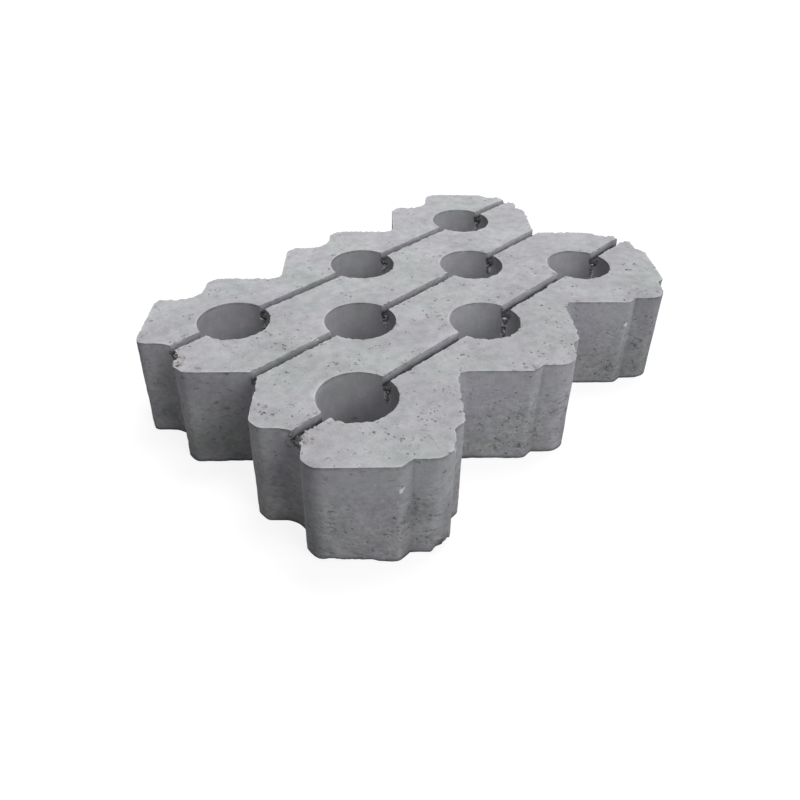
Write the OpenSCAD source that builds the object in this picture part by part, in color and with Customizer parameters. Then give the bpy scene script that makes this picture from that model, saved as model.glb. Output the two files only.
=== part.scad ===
// Grass paver: a cast concrete block with three rows of round planting holes,
// a drainage groove through each row, and stepped sides that nest with the next block.
// X runs along the grooves, Z is up, and the origin is the middle of the hole
// pattern on the face that the block lies on.

/* [Block] */
// Thickness of the block
thickness = 80; // [60:1:120]
// Distance from the centre of an outer hole to the side faces next to it
edge_distance = 67.5; // [58:0.5:80]

/* [Planting holes] */
// Spacing of neighbouring holes, from centre to centre
hole_pitch = 95; // [85:1:115]
// Diameter of a planting hole
hole_d = 54; // [40:1:66]
// Number of holes in each outer row; the middle row has one fewer
outer_holes = 3; // [2:1:5]

/* [Drainage grooves] */
// Width of a groove
groove_w = 6; // [3:0.5:12]
// Depth of a groove below the top face
groove_depth = 8; // [4:0.5:30]

/* [Notched corners] */
// Length of a notch along each side face
notch = 36; // [28:0.5:44]
// Radius of the inner corner of a notch
notch_inner_r = 18; // [5:0.5:24]
// Radius where a notch meets the side faces
notch_outer_r = 8; // [2:0.5:9]

/* [Lug corners] */
// Length of the set-back stretch along each side face
lug = 41; // [30:0.5:46]
// How far a lug is set back from the side faces
lug_inset = 7; // [3:0.5:10]
// Radius of the tip of a lug
lug_tip_r = 15.5; // [5:0.5:18]

/* [Steps] */
// Radius in the inner corners of the stepped sides
step_r = 7.5; // [1:0.5:10]

/* [Hidden] */
$fn = 96;
// how far a cut runs past the face that it opens through
past = 1;
// the holes lie on a square lattice, and this turns it so that its diagonals are the rows
lattice_turn = -45;
// from one row to the next
row_gap = hole_pitch / sqrt(2);
// from the middle of the block to the tips of the cells at its ends
end_reach = (outer_holes - 1) * row_gap + edge_distance * sqrt(2);
// Corners of a lattice cell, named for where they point on the block
right = 45;
back = 135;
left = 225;
front = 315;

function holes_in(row) = row == 0 ? outer_holes - 1 : outer_holes;
// A hole's place on the lattice; i counts along the row, from the left
function hole_at(row, i) =
    let (steps = 2 * i + 1 - holes_in(row)) [steps - row, steps + row] * hole_pitch / 2;

// Brings a shape to a corner of the square cell round a hole. The shape is drawn with
// the corner at the origin and opens towards +X and +Y; here it opens the way given.
module at_corner(hole, corner, opening) {
    translate(hole + edge_distance * [sign(cos(corner)), sign(sin(corner))])
        rotate(opening - 45) children();
}

// The sliver between a square corner and its rounding
module rounding(r) {
    difference() {
        translate([-past, -past]) square(r + past);
        translate([r, r]) circle(r);
    }
}

// What a notch takes out of a corner
module notch_cut() {
    difference() {
        union() {
            translate([-past, -past]) square(notch + past);
            translate([notch, 0]) rounding(notch_outer_r);
            translate([0, notch]) rounding(notch_outer_r);
        }
        translate([notch, notch]) rotate(180) rounding(notch_inner_r);
    }
}

// What is taken off both sides of a corner to leave a lug
module lug_cut() {
    polygon([
        [-past, -past],
        [lug + past, -past],
        [lug - lug_inset, lug_inset],
        [lug_inset, lug_inset],
        [lug_inset, lug - lug_inset],
        [-past, lug + past],
    ]);
    translate([lug_inset, lug_inset]) rounding(lug_tip_r);
}

// The cells of all the holes, run together. Those of the middle row just reach the
// inner corners of the steps, which are filled here.
module stepped_outline() {
    last = holes_in(0) - 1;
    for (row = [-1:1], i = [0:holes_in(row) - 1])
        translate(hole_at(row, i)) square(2 * edge_distance, center = true);
    at_corner(hole_at(0, 0), left, left) rounding(step_r);
    at_corner(hole_at(0, last), right, right) rounding(step_r);
    for (i = [0:last], side = [front, back])
        at_corner(hole_at(0, i), side, side) rounding(step_r);
}

// Outline of the block, laid out on the lattice
module paver_outline() {
    last = outer_holes - 1;
    difference() {
        stepped_outline();
        // notches: all the tips at the back and both at the left end
        for (i = [0:last])
            at_corner(hole_at(1, i), back, front) notch_cut();
        for (row = [-1, 1])
            at_corner(hole_at(row, 0), left, right) notch_cut();
        // lugs: all the tips at the front and both at the right end
        for (i = [0:last])
            at_corner(hole_at(-1, i), front, back) lug_cut();
        for (row = [-1, 1])
            at_corner(hole_at(row, last), right, left) lug_cut();
    }
}

module planting_holes() {
    rotate(lattice_turn)
        for (row = [-1:1], i = [0:holes_in(row) - 1])
            translate(concat(hole_at(row, i), -past))
                cylinder(h = thickness + 2 * past, d = hole_d);
}

module drainage_grooves() {
    for (row = [-1:1])
        translate([-end_reach, row * row_gap - groove_w / 2, thickness - groove_depth])
            cube([2 * end_reach, groove_w, groove_depth + past]);
}

module paver_block() {
    color([0.67, 0.67, 0.69])
        difference() {
            linear_extrude(thickness) rotate(lattice_turn) paver_outline();
            planting_holes();
            drainage_grooves();
        }
}

paver_block();
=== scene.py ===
import math
import random

import bmesh
import bpy
import numpy as np
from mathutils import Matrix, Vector
from mathutils.geometry import delaunay_2d_cdt
from mathutils.kdtree import KDTree


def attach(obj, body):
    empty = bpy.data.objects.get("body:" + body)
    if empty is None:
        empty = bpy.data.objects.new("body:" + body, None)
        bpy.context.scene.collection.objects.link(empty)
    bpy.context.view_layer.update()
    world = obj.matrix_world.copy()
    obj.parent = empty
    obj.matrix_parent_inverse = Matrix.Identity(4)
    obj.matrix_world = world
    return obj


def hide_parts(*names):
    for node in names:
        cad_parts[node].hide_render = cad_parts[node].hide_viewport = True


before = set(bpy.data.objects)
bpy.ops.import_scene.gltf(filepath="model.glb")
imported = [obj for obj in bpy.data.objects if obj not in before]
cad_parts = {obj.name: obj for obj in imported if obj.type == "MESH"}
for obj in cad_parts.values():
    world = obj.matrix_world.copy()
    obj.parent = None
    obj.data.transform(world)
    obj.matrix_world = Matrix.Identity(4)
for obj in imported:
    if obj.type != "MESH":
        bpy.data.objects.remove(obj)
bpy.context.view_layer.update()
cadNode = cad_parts["paver_block"]
cadCorners = np.array([vertex.co for vertex in cadNode.data.vertices])
cadLow, cadHigh = cadCorners.min(0), cadCorners.max(0)
mm = 0.001
diagonal = 0.707  # the steps of the sides stand at 45 degrees


def addObject(name, data):
    thing = bpy.data.objects.new(name, data)
    bpy.context.scene.collection.objects.link(thing)
    return thing


making = {}  # under "tree", the node tree that the helpers below add to


def addNode(kind, inputs=None, **settings):
    # inputs takes plain values or another node's output, by socket name or number
    node = making["tree"].nodes.new(kind)
    for key, value in settings.items():
        setattr(node, key, value)
    for key, value in (inputs or {}).items():
        if isinstance(value, bpy.types.NodeSocket):
            making["tree"].links.new(value, node.inputs[key])
        else:
            node.inputs[key].default_value = value
    return node


def calc(operation, a, b=0.0):
    return addNode("ShaderNodeMath", {0: a, 1: b}, operation=operation).outputs[0]


def product(*factors):
    value = factors[0]
    for factor in factors[1:]:
        value = calc("MULTIPLY", value, factor)
    return value


def total(*terms):
    value = terms[0]
    for term in terms[1:]:
        value = calc("ADD", value, term)
    return value


def opposite(value):
    return calc("SUBTRACT", 1.0, value)


def vectorCalc(operation, a, b=None, scale=None):
    inputs = {0: a}
    if b is not None:
        inputs[1] = b
    if scale is not None:
        inputs["Scale"] = scale
    return addNode("ShaderNodeVectorMath", inputs, operation=operation).outputs[0]


def measure(operation, a, b=(0, 0, 0)):
    # a plain number from vectors: a dot product, a length or a distance
    return addNode("ShaderNodeVectorMath", {0: a, 1: b}, operation=operation).outputs["Value"]


def separate(vector):
    return addNode("ShaderNodeSeparateXYZ", {0: vector}).outputs


def heightOf(vector):
    return separate(vector)[2]


def stretched(place, upright):
    # a pattern on the stretched place comes out that much flatter
    return vectorCalc("MULTIPLY", place, (1, 1, upright))


def remap(value, low, high, toLow=0.0, toHigh=1.0):
    # a smooth step from one range to another
    inputs = {"Value": value, "From Min": low, "From Max": high, "To Min": toLow, "To Max": toHigh}
    return addNode("ShaderNodeMapRange", inputs, interpolation_type="SMOOTHSTEP").outputs[0]


def fade(value, start, stop):
    return remap(value, start, stop, 1, 0)


def cloud(place, scale, detail=2.0, roughness=0.5, seed=0.0):
    # Perlin noise around 0.5; a plain seed moves it aside, a tree's own seed is the fourth dimension
    inputs = {"Vector": place, "Scale": scale, "Detail": detail, "Roughness": roughness}
    if isinstance(seed, bpy.types.NodeSocket):
        return addNode("ShaderNodeTexNoise", dict(inputs, W=seed), noise_dimensions="4D").outputs[0]
    inputs["Vector"] = vectorCalc("ADD", place, (0.31 * seed, 0.47 * seed, 0.73 * seed))
    return addNode("ShaderNodeTexNoise", inputs).outputs[0]


blockMesh = {
    "edgeStep": 0.0016,  # spacing of points along arrises, bores and grooves
    "topLevels": ((0.0, 0.0015), (0.0045, 0.0021), (0.0095, 0.0027)),  # spacing by distance from an edge
    "footLevels": ((0.0, 0.0028), (0.006, 0.0048), (0.014, 0.0075)),
    "jitter": 0.15,  # of the spacing
    "clearance": 0.7,  # of the spacing, from the edges
    "sideRows": 23,  # rows of points up a side, from the foot to the groove floors
    "grooveRows": 7,
    "grading": {"outline": 1.35, "bore": 1.2, "groove": 1.3},  # rows closest at the foot, floors and top
    "corners": (-30.0, 60.0),  # turns beyond these are corners and stay sharp
    "arcTurns": (2.0, 25.0),  # turns between the chords of a rounding
    "flattened": (0.0095, 0.88),  # roundings tighter than this came out nearly as flats, and how nearly
    "ragged": {"outline": 1.0, "bore": 0.6, "groove": 0.8},  # how crumbled the top edges are
    "seed": 7,
}


def gradedHeights(start, stop, count, power):
    # from start to stop, closer together near the start
    return [start + (stop - start) * (k / (count - 1)) ** power for k in range(count)]


def undersideLoops(mesh, low):
    # closed loops of points round the underside, the widest first
    neighbours = {}
    for edge in mesh.edges:
        if max(v.co.z for v in edge.verts) > low + 1e-5:
            continue
        flat = [abs(face.normal.z) > 0.9 for face in edge.link_faces]
        if flat.count(True) == 1:
            a, b = edge.verts
            neighbours.setdefault(a.index, []).append(b.index)
            neighbours.setdefault(b.index, []).append(a.index)
    mesh.verts.ensure_lookup_table()
    loops = []
    left = set(neighbours)
    while left:
        loop = [min(left)]
        left.discard(loop[0])
        while True:
            onward = [n for n in neighbours[loop[-1]] if n in left]
            if not onward:
                break
            loop.append(onward[0])
            left.discard(onward[0])
        loops.append(np.array([mesh.verts[i].co.xy[:] for i in loop]))
    return sorted(loops, key=lambda loop: -np.ptp(loop[:, 0]))


def readBlock(node):
    # the outline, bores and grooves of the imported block
    mesh = bmesh.new()
    mesh.from_mesh(node.data)
    bmesh.ops.remove_doubles(mesh, verts=mesh.verts, dist=1e-5)
    mesh.normal_update()
    low = min(v.co.z for v in mesh.verts)
    high = max(v.co.z for v in mesh.verts)
    onFloors = [v.co.copy() for v in mesh.verts if low + 0.005 < v.co.z < high - 0.002]
    outline, *boreLoops = undersideLoops(mesh, low)
    mesh.free()
    bores = []
    for loop in boreLoops:
        centre = (loop.min(0) + loop.max(0)) / 2
        bores.append((centre, float(np.linalg.norm(loop - centre, axis=1).max())))
    bores.sort(key=lambda bore: (round(float(bore[0][1]), 3), float(bore[0][0])))
    rows = sorted({round(float(centre[1]), 5) for centre, radius in bores})
    half = max(min(abs(v.y - row) for row in rows) for v in onFloors)
    return {
        "outline": outline,
        "bores": bores,  # centre and radius of each, row by row
        "rows": rows,  # the grooves run along these
        "low": low,
        "high": high,
        "floor": float(np.median([v.z for v in onFloors])),
        "halfWidth": half,
        "levels": [(row + side * half, side) for row in rows for side in (-1, 1)],  # sides of the grooves
        "innerCorners": [],
    }


def signedArea(loop):
    x, y = loop[:, 0], loop[:, 1]
    return 0.5 * float(np.sum(x * np.roll(y, -1) - np.roll(x, -1) * y))


def inGroove(block, y):
    return min(abs(y - row) for row in block["rows"]) < block["halfWidth"] - 1e-7


def turnAt(before, here, after):
    a, b = here - before, after - here
    return math.degrees(math.atan2(a[0] * b[1] - a[1] * b[0], a @ b))


def flattenRoundings(loop):
    # tight outer roundings become nearly flat
    least, most = blockMesh["arcTurns"]
    tightest, share = blockMesh["flattened"]
    count = len(loop)
    turns = [turnAt(loop[i - 1], loop[i], loop[(i + 1) % count]) for i in range(count)]
    start = next(i for i in range(count) if not least < turns[i] < most)
    loop = np.roll(loop, -start, axis=0)
    turns = turns[start:] + turns[:start]
    i = 0
    while i < count:
        j = i
        while j < count and least < turns[j] < most:
            j += 1
        angle = math.radians(sum(turns[i:j]))
        if j - i > 3 and angle > 0.7:
            chord = loop[j - 1] - loop[i]
            length = float(np.linalg.norm(chord))
            if length / (2 * math.sin(min(angle, math.pi) / 2)) < tightest:
                for k in range(i + 1, j - 1):
                    foot = loop[i] + chord * ((loop[k] - loop[i]) @ chord) / length ** 2
                    loop[k] += share * (foot - loop[k])
        i = max(j, i + 1)
    return loop


def outlinePoints(block, loop):
    # the loop with its crossings of the grooves' sides, and which points must stay exactly where they are
    blunt, sharp = blockMesh["corners"]
    points = []
    fixed = []
    for i, here in enumerate(loop):
        after = loop[(i + 1) % len(loop)]
        turn = turnAt(loop[i - 1], here, after)
        onLevel = any(abs(here[1] - level) < 1e-6 for level, side in block["levels"])
        points.append(here)
        if turn < blunt and not onLevel:
            block["innerCorners"].append(here)
        fixed.append(turn < blunt or turn > sharp or onLevel)
        crossings = []
        for level, side in block["levels"]:
            if (here[1] - level) * (after[1] - level) < -1e-12:
                share = (level - here[1]) / (after[1] - here[1])
                spot = here + share * (after - here)
                crossings.append((share, np.array([spot[0], level])))
        for share, spot in sorted(crossings, key=lambda crossing: crossing[0]):
            if min(np.linalg.norm(spot - here), np.linalg.norm(spot - after)) > 1e-6:
                points.append(spot)
                fixed.append(True)
    first = fixed.index(True)
    return points[first:] + points[:first] + [points[first]], fixed[first:] + fixed[:first] + [True]


def evenSpan(span, step):
    # evenly spaced points from one fixed point to the next
    lengths = np.concatenate(([0.0], np.cumsum(np.linalg.norm(np.diff(span, axis=0), axis=1))))
    count = max(1, round(lengths[-1] / step))
    at = np.linspace(0, lengths[-1], count + 1)
    even = np.column_stack([np.interp(at, lengths, span[:, k]) for k in (0, 1)])
    for _ in range(3):  # rounds off the facets of the arcs and the blunt corners of the steps
        even[1:-1] += 0.5 * ((even[:-2] + even[2:]) / 2 - even[1:-1])
    return even


def resampleOutline(block, step):
    loop = block["outline"]
    if signedArea(loop) < 0:
        loop = loop[::-1]
    points, fixed = outlinePoints(block, flattenRoundings(loop))
    result = []
    start = 0
    for i in range(1, len(points)):
        if fixed[i]:
            result.extend(evenSpan(np.array(points[start:i + 1]), step)[:-1])
            start = i
    return np.array(result)


def resampleBore(block, centre, radius, step):
    # clockwise, so that the same rule gives the direction out of the concrete
    angles = set()
    for level, side in block["levels"]:
        sine = (level - centre[1]) / radius
        if abs(sine) < 1:
            angles |= {round(a % (2 * math.pi), 9) for a in (math.asin(sine), math.pi - math.asin(sine))}
    angles = sorted(angles)
    angles.append(angles[0] + 2 * math.pi)
    result = []
    for a, b in zip(angles, angles[1:]):
        count = max(1, round((b - a) * radius / step))
        for k in range(count):
            angle = a + (b - a) * k / count
            result.append((centre[0] + radius * math.cos(angle), centre[1] + radius * math.sin(angle)))
    result = np.array(result)
    for level, side in block["levels"]:  # lands exactly on the sides of the grooves
        result[np.abs(result[:, 1] - level) < 1e-8, 1] = level
    return result[::-1]


def loopNormals(loop):
    # horizontal, pointing out of the concrete
    along = np.roll(loop, -1, axis=0) - np.roll(loop, 1, axis=0)
    along /= np.linalg.norm(along, axis=1)[:, None]
    return np.column_stack((along[:, 1], -along[:, 0]))


def insideLoop(points, loop):
    # even-odd test for many points at once
    inside = np.zeros(len(points), bool)
    ends = np.roll(loop, -1, axis=0)
    for (x0, y0), (x1, y1) in zip(loop, ends):
        crosses = (y0 > points[:, 1]) != (y1 > points[:, 1])
        if crosses.any():
            at = x0 + (points[crosses, 1] - y0) / (y1 - y0) * (x1 - x0)
            inside[crosses] ^= points[crosses, 0] < at
    return inside


def onConcrete(block, points, outline, slack=0.0):
    inside = insideLoop(points, outline)
    for centre, radius in block["bores"]:
        inside &= np.linalg.norm(points - centre, axis=1) > radius - slack
    return inside


def pointTree(points):
    finder = KDTree(len(points))
    for i, point in enumerate(points):
        finder.insert(point, i)
    finder.balance()
    return finder


def fillPoints(block, edgePoints, levels, rng):
    # a jittered honeycomb that gets coarser away from the edges
    edges = pointTree([(x, y, 0) for x, y in edgePoints])
    low, high = block["outline"].min(0), block["outline"].max(0)
    jitter = blockMesh["jitter"]
    kept = []
    for k, (start, spacing) in enumerate(levels):
        start = max(start, spacing * blockMesh["clearance"])
        stop = levels[k + 1][0] if k + 1 < len(levels) else 1.0
        rowStep = spacing * 0.866
        for j in range(int((high[1] - low[1]) / rowStep) + 1):
            y = low[1] + j * rowStep
            for i in range(int((high[0] - low[0]) / spacing) + 1):
                x = low[0] + (i + 0.5 * (j % 2)) * spacing
                point = [value + rng.uniform(-jitter, jitter) * spacing for value in (x, y)]
                if start <= edges.find((*point, 0))[2] < stop:
                    kept.append(point)
    kept = np.array(kept)
    return kept[onConcrete(block, kept, block["outline"])]


def triangulate(block, chains, points):
    # constrained to the chains; returns places, and the triangles that lie on concrete with their centres
    places = []
    edges = []
    seen = {}

    def placeOf(point):
        key = (round(point[0] * 1e7), round(point[1] * 1e7))
        if key not in seen:
            seen[key] = len(places)
            places.append((float(point[0]), float(point[1])))
        return seen[key]

    for chain, closed in chains:
        ids = [placeOf(point) for point in chain]
        pairs = list(zip(ids, ids[1:]))
        if closed:
            pairs.append((ids[-1], ids[0]))
        edges.extend(pair for pair in pairs if pair[0] != pair[1])
    for point in points:
        placeOf(point)
    made = delaunay_2d_cdt([Vector(p) for p in places], edges, [], 0, 1e-9)
    source = [ids[0] if ids else None for ids in made[3]]
    flat = np.array([places[s] if s is not None else tuple(made[0][i]) for i, s in enumerate(source)])
    triangles = np.array([face for face in made[2] if len(face) == 3])
    corners = flat[triangles]
    centres = corners.mean(axis=1)
    sides = corners[:, 1:] - corners[:, :1]
    area = np.abs(sides[:, 0, 0] * sides[:, 1, 1] - sides[:, 0, 1] * sides[:, 1, 0]) / 2
    keep = onConcrete(block, centres, block["outlineEven"], 2e-5) & (area > 1e-9)  # no slivers
    return flat, triangles[keep], centres[keep]


def grooveChains(block, loops, step):
    # the sides of the grooves, from one wall crossing to the next, and which way is out of the concrete
    chains = []
    for level, side in block["levels"]:
        xs = sorted(p[0] for loop in loops for p in loop if abs(p[1] - level) < 1e-9)
        for a, b in zip(xs[0::2], xs[1::2]):
            count = max(1, round((b - a) / step))
            xRow = np.linspace(a, b, count + 1)
            chains.append((np.column_stack((xRow, np.full(count + 1, level))), -side))
    return chains


class Skin:
    # the block's surface while it is put together
    def __init__(self):
        self.verts = []
        self.faces = []
        self.seen = {}
        self.outward = {}  # horizontal direction out of the concrete, by vertex
        self.onBore = set()  # vertices on the walls of the bores
        self.arris = []  # points on the top edges: place, the way out of the concrete, and how ragged
        self.foot = []

    def vertexAt(self, x, y, z, out=None):
        key = (round(x * 1e7), round(y * 1e7), round(z * 1e6))
        if key not in self.seen:
            self.seen[key] = len(self.verts)
            self.verts.append((x, y, z))
        index = self.seen[key]
        if out is not None:
            self.outward[index] = self.outward.get(index, np.zeros(2)) + out
        return index

    def addWall(self, a, b, outA, outB, heights):
        # quads between two upright lines
        for low, high in zip(heights, heights[1:]):
            corners = ((a, low, outA), (b, low, outB), (b, high, outB), (a, high, outA))
            self.faces.append([self.vertexAt(*at, z, out) for at, z, out in corners])


def addSides(skin, block, loop, heights, ragged):
    # the wall round a loop, up to the top or to a groove's floor
    normals = loopNormals(loop)
    count = len(loop)
    floorRow = blockMesh["sideRows"] - 1
    cut = [inGroove(block, (loop[i][1] + loop[(i + 1) % count][1]) / 2) for i in range(count)]
    for i, place in enumerate(loop):
        j = (i + 1) % count
        rows = heights[:floorRow + 1] if cut[i] else heights
        skin.addWall(place, loop[j], normals[i], normals[j], rows)
        skin.foot.append(place)
        if not (cut[i] and cut[i - 1]):
            skin.arris.append((*place, block["high"], *normals[i], ragged))
            if cut[i] or cut[i - 1]:  # the upright edges of a groove's mouth
                skin.arris.extend((*place, z, *normals[i], ragged) for z in heights[floorRow:-1])


def addGrooveSides(skin, block, chain, side, heights, ragged):
    out = np.array([0.0, float(side)])
    for a, b in zip(chain, chain[1:]):
        skin.addWall(*((a, b) if side < 0 else (b, a)), out, out, heights)
    skin.arris.extend((*point, block["high"], *out, ragged) for point in chain)


def buildSurface(block):
    # one closed mesh of the block, fine at the arrises, with the attributes that the relief reads
    rng = random.Random(blockMesh["seed"])
    step = blockMesh["edgeStep"]
    low, high, floor = block["low"], block["high"], block["floor"]
    block["outlineEven"] = resampleOutline(block, step)
    loops = [block["outlineEven"]]
    loops += [resampleBore(block, centre, radius, step) for centre, radius in block["bores"]]
    grooves = grooveChains(block, loops, step)
    count, power, ragged = blockMesh["sideRows"], blockMesh["grading"], blockMesh["ragged"]
    upper = gradedHeights(high, floor, blockMesh["grooveRows"], power["groove"])[-2::-1]
    outlineRows = gradedHeights(low, floor, count, power["outline"]) + upper
    boreRows = gradedHeights(floor, low, count, power["bore"])[::-1] + upper

    skin = Skin()
    addSides(skin, block, loops[0], outlineRows, ragged["outline"])
    outer = len(skin.faces)
    for loop in loops[1:]:
        addSides(skin, block, loop, boreRows, ragged["bore"])
    skin.onBore.update(index for face in skin.faces[outer:] for index in face)
    for chain, side in grooves:
        addGrooveSides(skin, block, chain, side, outlineRows[count - 1:], ragged["groove"])
    print("walls:", len(skin.faces), "quads")

    outlines = [(loop, True) for loop in loops]
    lines = outlines + [(chain, False) for chain, side in grooves]
    inner = fillPoints(block, [p for chain, closed in lines for p in chain], blockMesh["topLevels"], rng)
    flat, triangles, centres = triangulate(block, lines, inner)
    for triangle, centre in zip(triangles, centres):
        z = floor if inGroove(block, centre[1]) else high
        skin.faces.append([skin.vertexAt(*flat[i], z) for i in triangle])
    inner = fillPoints(block, skin.foot, blockMesh["footLevels"], rng)
    flat, triangles, centres = triangulate(block, outlines, inner)
    for triangle in triangles:
        skin.faces.append([skin.vertexAt(*flat[i], low) for i in triangle[::-1]])
    print("surface:", len(skin.verts), "vertices,", len(skin.faces), "faces")

    mesh = bpy.data.meshes.new("paverSurface")
    mesh.from_pydata(skin.verts, [], skin.faces)
    mesh.validate()
    writeAttributes(mesh, block, skin)
    return mesh, skin.arris


def smoothStep(value):
    value = np.clip(value, 0, 1)
    return value * value * (3 - 2 * value)


def writeAttributes(mesh, block, skin):
    # rim and foot: distance from the top and bottom edges; outward: the way out of the concrete
    verts = np.array(skin.verts)
    arrisTree = pointTree([point[:3] for point in skin.arris])
    footTree = pointTree([(x, y, 0) for x, y in skin.foot])
    rim, footing, ragged = np.zeros((3, len(verts)))
    out = np.zeros((len(verts), 3))
    for i, place in enumerate(verts):
        _, nearest, rim[i] = arrisTree.find(place)
        footing[i] = footTree.find(place)[2] if place[2] < 0.02 else place[2]
        ragged[i] = skin.arris[nearest][5]
        if i in skin.outward:
            out[i, :2] = skin.outward[i]
        elif rim[i] < 0.012:
            out[i, :2] = skin.arris[nearest][3:5]
    lengths = np.linalg.norm(out, axis=1)
    out[lengths > 0] /= lengths[lengths > 0][:, None]
    far = np.clip((out[:, 0] + out[:, 1]) * diagonal, 0, 1)
    right = np.clip((out[:, 0] - out[:, 1]) * diagonal, 0, 1) * (ragged > 0.9)
    bore = np.array([float(i in skin.onBore) for i in range(len(verts))])
    layers = {
        "rim": rim,
        "foot": footing,
        "bore": bore,
        "lip": ragged * np.maximum(far, 0.6 * right),  # lips lean out on two sides of each tooth
        "hollow": hollowDepth(block, verts),
        "trail": trailWeight(block, verts, bore),
        "pitted": spotWeight(verts, pittedSpots),
        "rubble": spotWeight(verts, rubbleSpots),
        "inner": cornerShade(block, verts),
        # the tone holds the painted shade where the grooves break into the bores, times the stain and
        # highlight spots
        "tone": windowShade(block, verts) * (1 + spotSum(verts, stainAndHighlightSpots)),
        "outward": out,
        "pull": spotSum(verts, breaks + castingErrors) * mm + grooveShift(block, verts),
    }
    for name, values in layers.items():
        kind, field = ("FLOAT", "value") if values.ndim == 1 else ("FLOAT_VECTOR", "vector")
        attribute = mesh.attributes.new(name, kind, "POINT")
        attribute.data.foreach_set(field, values.astype(np.float32).ravel())


grooveWearAndShade = {
    "fade": 0.0042,  # how far the painted shade of a groove comes down the wall below its mouth
    "near": 0.0003,  # how far the near sides have worn back
    "wandering": 0.0006,  # and more of it in the middle of the first row
    "farEnd": 0.0006,
    "far": 0.0004,  # the far sides
    "atTop": 0.0006,
    "mouth": 0.0009,
}


def hollowDepth(block, verts):
    # how deep a place lies in a groove, fading out on the wall below its mouth, for the painted shade of the
    # grooves
    sideways = np.min([np.abs(verts[:, 1] - row) for row in block["rows"]], axis=0)
    within = sideways < block["halfWidth"] + 1e-6
    below = block["floor"] - verts[:, 2]
    depth = np.minimum(block["high"] - verts[:, 2], block["high"] - block["floor"])
    return np.where(within, depth * smoothStep(1.5 - below / grooveWearAndShade["fade"]), 0.0)


def grooveShift(block, verts):
    # the grooves have worn wider, more at the top of the far side and in the first row
    half = block["halfWidth"]
    row = np.array(block["rows"])[np.argmin([np.abs(verts[:, 1] - row) for row in block["rows"]], axis=0)]
    sideways = verts[:, 1] - row
    inside = (np.abs(sideways) < half + 1e-6) & (verts[:, 2] > block["floor"] - 1e-6)
    near = inside & (sideways < -half + 1e-5)
    far = inside & (sideways > half - 1e-5)
    firstRow = row < -0.01
    share = {
        "atTop": smoothStep((verts[:, 2] - block["high"] + 0.0016) / 0.0016),
        "mouth": firstRow * smoothStep((-0.14 - verts[:, 0]) / 0.03),
        "wandering": firstRow * smoothStep((0.115 - np.abs(verts[:, 0] - 0.01)) / 0.02),
        "farEnd": firstRow * smoothStep((verts[:, 0] - 0.13) / 0.03),
    }
    worn = {name: grooveWearAndShade[name] * values for name, values in share.items()}
    shift = np.zeros((len(verts), 3))
    shift[near, 1] = -(grooveWearAndShade["near"] + worn["wandering"] + worn["farEnd"])[near]
    shift[far, 1] = (grooveWearAndShade["far"] + worn["atTop"] + worn["mouth"])[far]
    return shift


windowTrailsAndShade = {
    "halfWidth": 0.0021,
    "lengths": (0.014, 0.026, 0.019, 0.012, 0.014, 0.016, 0.012, 0.014),  # one for each bore, row by row
    "lumps": (1.3, 2.6, 1.7, 0.9, 1.4, 1.7, 1.1, 1.1),  # size of the two pale lumps in each
    "hole": (0.0052, 0.6),  # reach and darkness of the painted shade in the hollow where the groove breaks into the bore
}


def trailWeight(block, verts, bore):
    # streaks that run down a bore's wall from where the grooves come in
    weight = np.zeros(len(verts))
    for (centre, radius), length in zip(block["bores"], windowTrailsAndShade["lengths"]):
        onWall = (bore > 0.5) & (np.linalg.norm(verts[:, :2] - centre, axis=1) < radius + 1e-4)
        drop = np.clip(block["floor"] - verts[:, 2], 0, None) / length
        narrowing = windowTrailsAndShade["halfWidth"] * (1.3 - 0.5 * np.clip(drop, 0, 1))
        across = np.abs(verts[:, 1] - centre[1]) / narrowing
        streak = smoothStep(1.6 * (1.3 - across)) * smoothStep((1 - drop) * 2.5)
        weight[onWall] = streak[onWall]
    return weight


def windowShade(block, verts):
    # painted shade: the grooves are dark and hollow where they break into the bores
    reach, darkness = windowTrailsAndShade["hole"]
    shade = np.zeros(len(verts))
    for centre, radius in block["bores"]:
        at = (centre[0] + radius + 0.0012, centre[1] - 0.0008, block["floor"] + 0.0012)
        distance = np.linalg.norm((verts - at) * (0.8, 1, 1), axis=1)
        below = verts[:, 2] < block["high"] - 0.0012
        shade = np.maximum(shade, below * smoothStep((1 - distance / reach) * 1.8))
    return 1 - darkness * shade


def cornerShade(block, verts):
    # 1 along the upright inner corners of the steps, where painted shade darkens them
    corners = np.array(block["innerCorners"])
    nearest = np.min([np.linalg.norm(verts[:, :2] - corner, axis=1) for corner in corners], axis=0)
    return np.exp(-(nearest / 0.0024) ** 2)


# Spots of wear and of painted highlight: their place and reach in millimetres, from the middle of the block's
# underside, and how pitted or broken the concrete is there, how much paler, or which way it is pushed
pittedSpots = [
    ((-18, -32, 80), 13, 1.0),
    ((-123, -30, 80), 9, 0.5),
    ((-116, -114, 80), 12, 0.7),
    ((-187, -40, 80), 12, 1.0),
    ((-123, 111, 80), 6, 1.0),
    ((-173, 76, 80), 7, 0.9),
    ((-157, 43, 80), 9, 0.7),
    ((-39, -89, 80), 9, 0.7),
    ((94, -81, 80), 10, 0.6),
    ((-108, -35, 80), 11, 0.6),
    ((-79, -38, 80), 11, 0.5),
    ((-150, -105, 80), 16, 0.3),
    ((-70, -95, 80), 14, 0.3),
    ((-30, -130, 22), 26, 0.7),  # the middle front face, low down
    ((-8, -145, 38), 17, 0.8),
    ((-160, -130, 30), 18, 0.4),
    ((-145, -140, 12), 12, 0.8),
    ((101, -129, 19), 9, 0.8),  # the far right lug
    ((92, -120, 32), 6, 0.6),
    ((121, -139, 33), 8, 0.9),
    ((123, -141, 11), 7, 0.6),
]
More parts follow.
